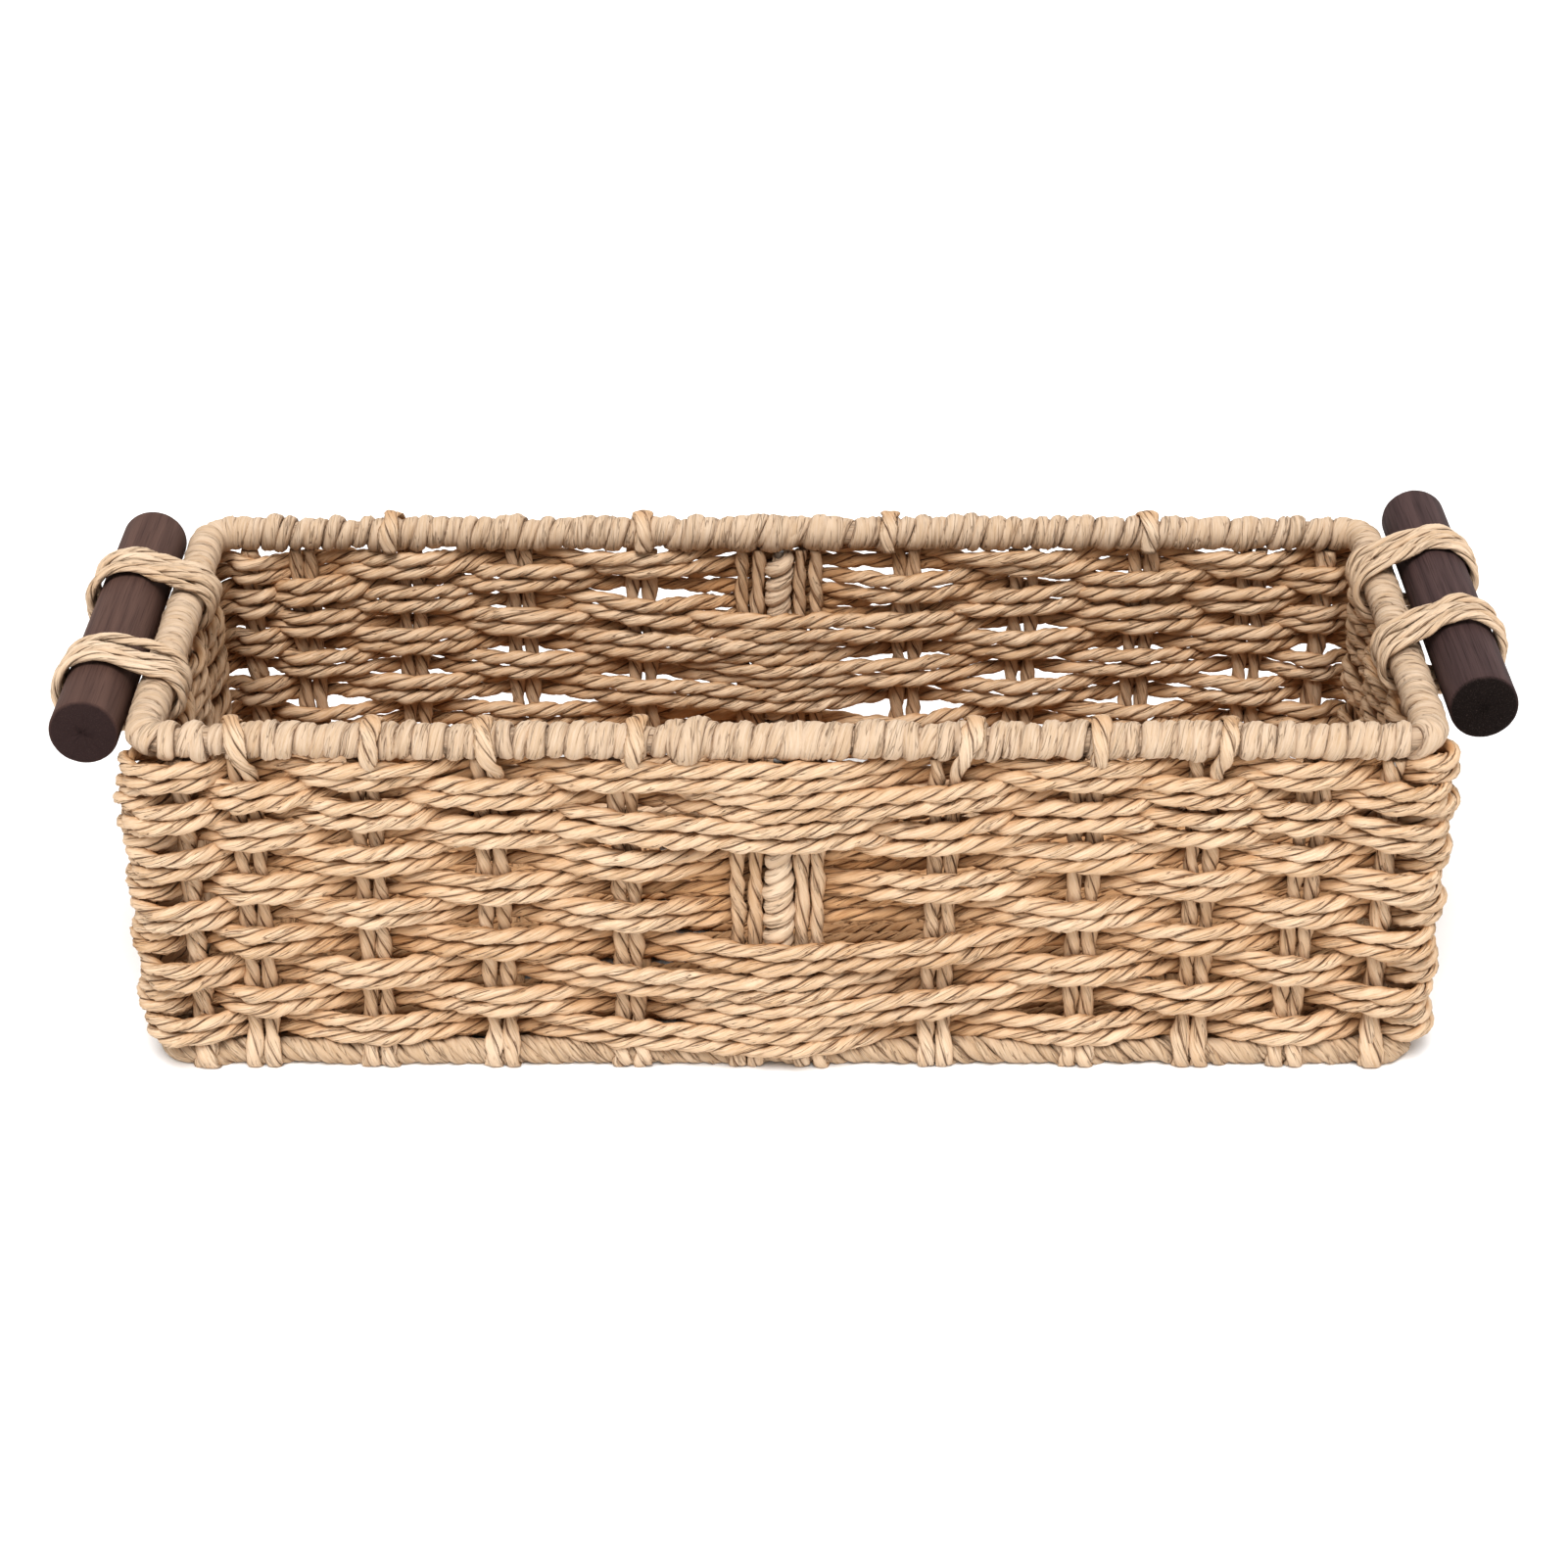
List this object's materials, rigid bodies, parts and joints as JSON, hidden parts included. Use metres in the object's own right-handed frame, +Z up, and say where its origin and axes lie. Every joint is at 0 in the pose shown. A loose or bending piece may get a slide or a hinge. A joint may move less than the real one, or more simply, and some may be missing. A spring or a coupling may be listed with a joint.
{
  "type": "bread basket",
  "caption": "Long rectangular basket woven from twisted paper rope on a wire frame, with a round wooden handle lashed along each short end of the rim.",
  "frame": {"origin": "on the surface the basket stands on, under the middle of the whole object with its handles", "axes": "+X along the length, from the left handle to the right; +Y from the front wall to the rear wall; +Z up"},
  "size_m": [0.4282, 0.1542, 0.1249],
  "materials": {
    "woven_paper_rope": "matte twisted paper rope",
    "flat_paper_rope": "matte flat paper rope",
    "frame_wire": "plain drawn wire",
    "stained_wood": "dark stained, matte"
  },
  "bodies": {
    "basket": {"base_binding": "flat_paper_rope", "base_rim_wire": "frame_wire", "corner_posts": "frame_wire", "floor_ribs": "woven_paper_rope", "floor_weavers": "woven_paper_rope", "front_centre_post": "frame_wire", "front_centre_post_binding": "flat_paper_rope", "front_centre_stake_left": "woven_paper_rope", "front_centre_stake_right": "woven_paper_rope", "front_left_corner_stake": "woven_paper_rope", "front_right_corner_stake": "woven_paper_rope", "front_stake_1": "woven_paper_rope", "front_stake_2": "woven_paper_rope", "front_stake_3": "woven_paper_rope", "front_stake_4": "woven_paper_rope", "front_stake_5": "woven_paper_rope", "front_stake_6": "woven_paper_rope", "front_stake_7": "woven_paper_rope", "front_stake_8": "woven_paper_rope", "left_end_stake_1": "woven_paper_rope", "left_end_stake_2": "woven_paper_rope", "left_end_stake_3": "woven_paper_rope", "left_end_stake_4": "woven_paper_rope", "rear_centre_post": "frame_wire", "rear_centre_post_binding": "flat_paper_rope", "rear_centre_stake_left": "woven_paper_rope", "rear_centre_stake_right": "woven_paper_rope", "rear_left_corner_stake": "woven_paper_rope", "rear_right_corner_stake": "woven_paper_rope", "rear_stake_1": "woven_paper_rope", "rear_stake_2": "woven_paper_rope", "rear_stake_3": "woven_paper_rope", "rear_stake_4": "woven_paper_rope", "rear_stake_5": "woven_paper_rope", "rear_stake_6": "woven_paper_rope", "rear_stake_7": "woven_paper_rope", "rear_stake_8": "woven_paper_rope", "right_end_stake_1": "woven_paper_rope", "right_end_stake_2": "woven_paper_rope", "right_end_stake_3": "woven_paper_rope", "right_end_stake_4": "woven_paper_rope", "rim_binding": "flat_paper_rope", "top_rim_wire": "frame_wire", "weaver_row_01": "woven_paper_rope", "weaver_row_02": "woven_paper_rope", "weaver_row_03": "woven_paper_rope", "weaver_row_04": "woven_paper_rope", "weaver_row_05": "woven_paper_rope", "weaver_row_06": "woven_paper_rope", "weaver_row_07": "woven_paper_rope", "weaver_row_08": "woven_paper_rope", "weaver_row_09": "woven_paper_rope", "weaver_row_10": "woven_paper_rope", "weaver_row_11": "woven_paper_rope"},
    "left_lashings": {"left_front_lashing": "flat_paper_rope", "left_rear_lashing": "flat_paper_rope"},
    "left_handle": {"left_handle_dowel": "stained_wood"},
    "right_lashings": {"right_front_lashing": "flat_paper_rope", "right_rear_lashing": "flat_paper_rope"},
    "right_handle": {"right_handle_dowel": "stained_wood"}
  },
  "joints": [
    {"name": "left_handle_swing", "type": "hinge", "parent": "basket", "child": "left_lashings", "pos_m": [-0.18415, 0, 0.10815], "axis": [0, 1, 0], "range_deg": [-7, 46]},
    {"name": "left_handle_roll", "type": "hinge", "parent": "left_lashings", "child": "left_handle", "pos_m": [-0.20099, 0, 0.10874], "axis": [0, 1, 0], "continuous": true},
    {"name": "right_handle_swing", "type": "hinge", "parent": "basket", "child": "right_lashings", "pos_m": [0.18415, 0, 0.10815], "axis": [0, -1, 0], "range_deg": [-17, 36]},
    {"name": "right_handle_roll", "type": "hinge", "parent": "right_lashings", "child": "right_handle", "pos_m": [0.20063, 0, 0.11165], "axis": [0, 1, 0], "continuous": true}
  ]
}
